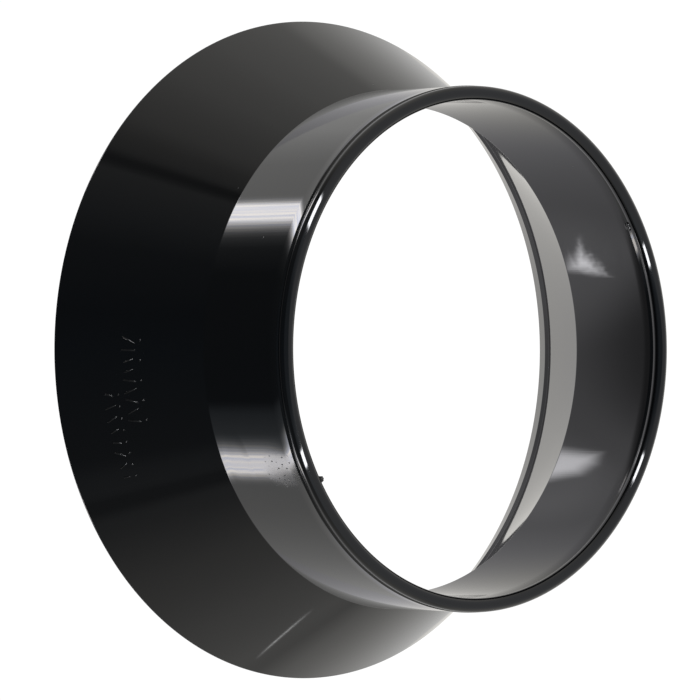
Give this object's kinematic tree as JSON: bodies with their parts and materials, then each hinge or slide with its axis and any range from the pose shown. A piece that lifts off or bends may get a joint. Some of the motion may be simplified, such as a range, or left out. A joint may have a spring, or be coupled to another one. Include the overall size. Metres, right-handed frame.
{
  "type": "soil pipe weathering collar",
  "caption": "Black plastic collar for a soil pipe: a short round sleeve that opens downwards into a conical skirt, with a rolled top edge.",
  "frame": {"origin": "centre of the skirt's foot, in the plane the collar stands on", "axes": "+Z along the pipe's axis, from the wide foot to the narrow sleeve's rounded top"},
  "size_m": [0.152, 0.152, 0.058],
  "materials": {
    "black_pvc": "gloss, as moulded"
  },
  "bodies": {
    "root": {"weathering_collar": "black_pvc"}
  },
  "joints": []
}
